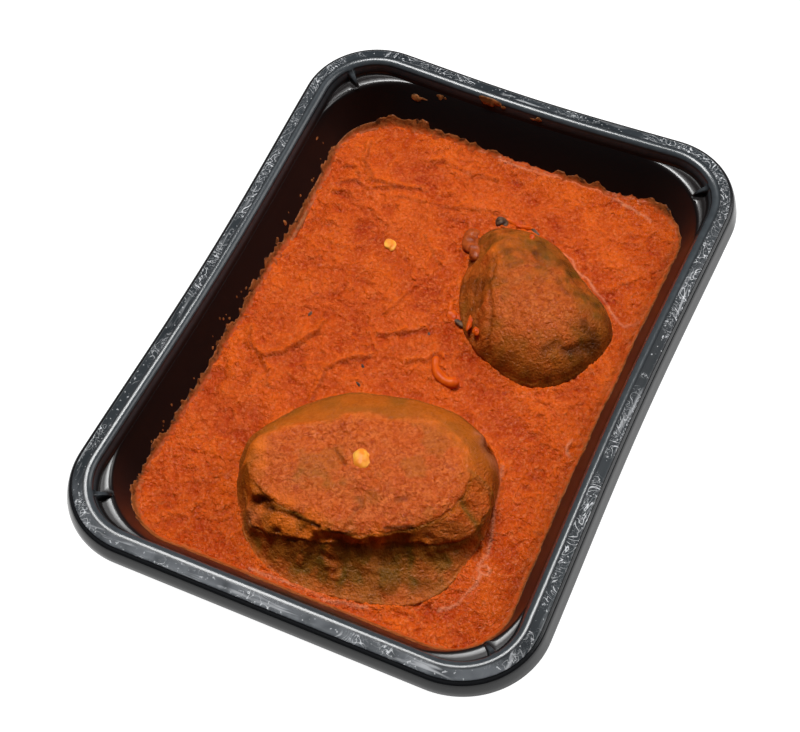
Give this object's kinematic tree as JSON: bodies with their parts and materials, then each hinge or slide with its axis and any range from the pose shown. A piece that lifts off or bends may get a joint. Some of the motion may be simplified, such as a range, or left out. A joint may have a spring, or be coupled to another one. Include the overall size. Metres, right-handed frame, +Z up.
{
  "type": "stuffed peppers ready meal in a plastic tray",
  "caption": "Packed ready meal: stuffed green peppers lying in thick tomato sauce in an open black plastic tray with a flanged rim",
  "frame": {"origin": "the middle of the tray's footprint, on the underside that it stands on", "axes": "+X along the tray's long side, towards the end with the small pepper; +Y across it, towards the side with open sauce; +Z up"},
  "size_m": [0.1854, 0.1355, 0.036],
  "materials": {
    "tray": "glossy black moulded sheet",
    "sauce": "wet, grainy tomato sauce",
    "pepper_large": "wet cooked pepper skin",
    "pepper_small": "wet cooked pepper skin",
    "vegetable_piece": "wet cooked orange vegetable"
  },
  "bodies": {
    "root": {"tray": "tray", "sauce": "sauce", "pepper_large": "pepper_large", "pepper_small": "pepper_small", "vegetable_piece": "vegetable_piece"}
  },
  "joints": []
}
